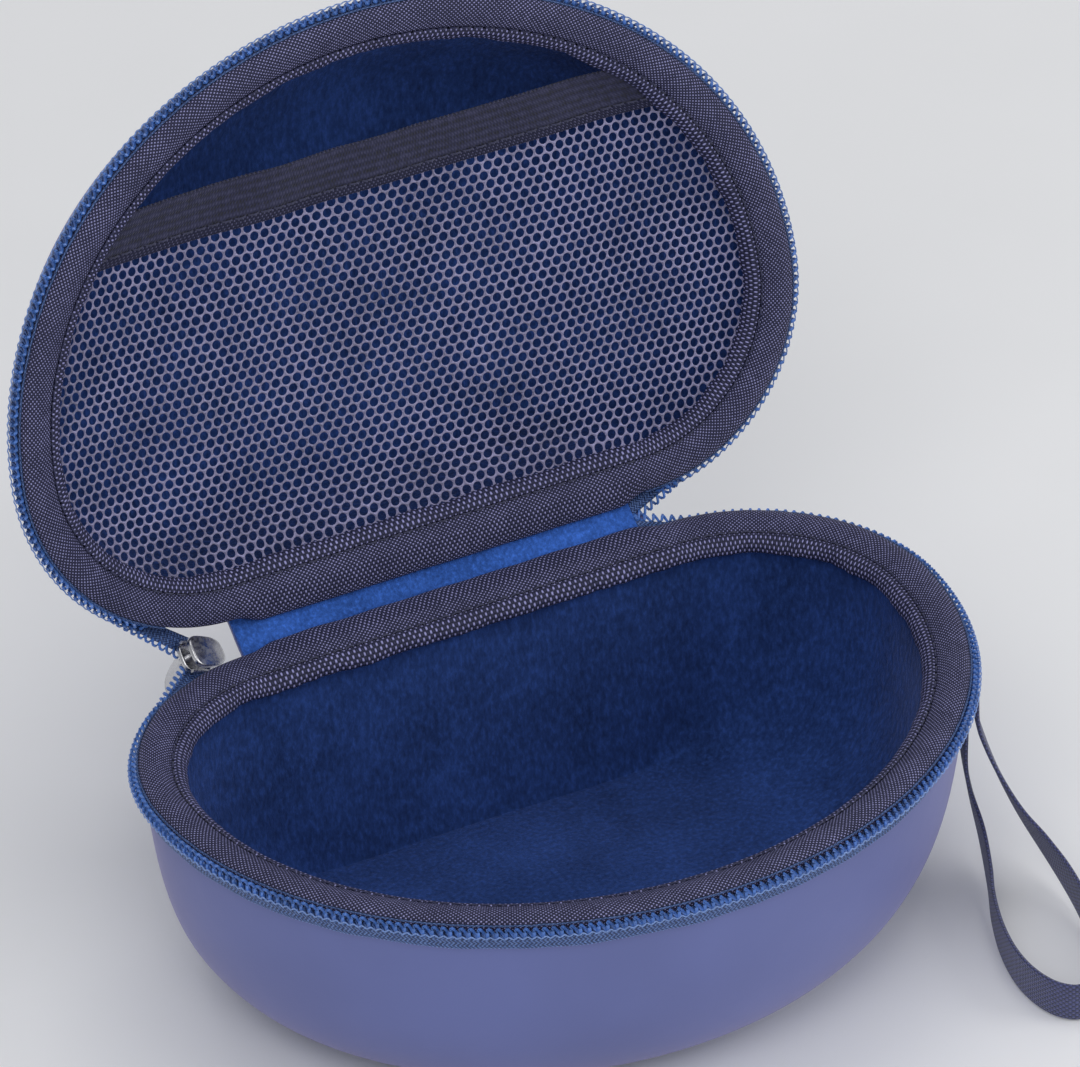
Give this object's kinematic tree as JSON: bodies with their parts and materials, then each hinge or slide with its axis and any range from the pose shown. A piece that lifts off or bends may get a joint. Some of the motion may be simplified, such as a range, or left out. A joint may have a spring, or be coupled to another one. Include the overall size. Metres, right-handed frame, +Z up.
{
  "type": "headphone carrying case",
  "caption": "D-shaped moulded clamshell case for headphones, standing open, with a zipped rim, cloth hinge, net pocket in the lid and a wrist strap.",
  "frame": {"origin": "middle of the flat area under the tub, on the surface it stands on, below the widest line of the rim", "axes": "+X along the hinge to the right, +Y from the front of the tub to the hinge, +Z up out of the tub"},
  "size_m": [0.2171, 0.2219, 0.21],
  "materials": {
    "skin": "satin",
    "velour": "matte",
    "binding": "matte",
    "tape": "matte",
    "coil": "satin",
    "net": "matte",
    "elastic": "matte",
    "webbing": "matte",
    "steel": "polished"
  },
  "bodies": {
    "base": {"base_binding_inner": "binding", "base_binding_outer": "binding", "base_hinge_flap": "skin", "base_lining": "velour", "base_shell": "skin", "base_zipper_coil": "coil", "base_zipper_tape": "tape", "strap_anchor": "webbing"},
    "spine": {"hinge_velour_strip": "velour", "hinge_leather_panel": "skin"},
    "lid": {"lid_binding_inner": "binding", "lid_binding_outer": "binding", "lid_hinge_flap": "skin", "lid_lining": "velour", "lid_shell": "skin", "lid_zipper_coil": "coil", "lid_zipper_tape": "tape", "pocket_elastic": "elastic", "pocket_hem": "binding", "pocket_net": "net"},
    "slider": {"slider_body": "steel", "slider_bail": "steel"},
    "pull": {"pull_tab": "steel"},
    "strap": {"wrist_strap": "webbing"}
  },
  "joints": [
    {"name": "spine_fold", "type": "hinge", "parent": "base", "child": "spine", "pos_m": [0, 0.05, 0.0645], "axis": [-1, 0, 0], "range_deg": [-52.5, 11.5]},
    {"name": "lid_fold", "type": "hinge", "parent": "spine", "child": "lid", "pos_m": [0, 0.05635, 0.06937], "axis": [-1, 0, 0], "range_deg": [-52.5, 11.5]},
    {"name": "slider_travel", "type": "slide", "parent": "spine", "child": "slider", "axis": [-1, 0, 0], "range_m": [0, 0.008]},
    {"name": "pull_flip", "type": "hinge", "parent": "slider", "child": "pull", "pos_m": [-0.0677, 0.05524, 0.06424], "axis": [0, 0.7934, 0.6088], "range_deg": [-85, 85]},
    {"name": "strap_swing", "type": "hinge", "parent": "base", "child": "strap", "pos_m": [0.09921, -0.03251, 0.0539], "axis": [-0.3782, -0.9257, 0], "range_deg": [0, 90]}
  ],
  "couplings": [
    {"joint": "lid_fold", "follows": "spine_fold", "ratio": 1}
  ]
}
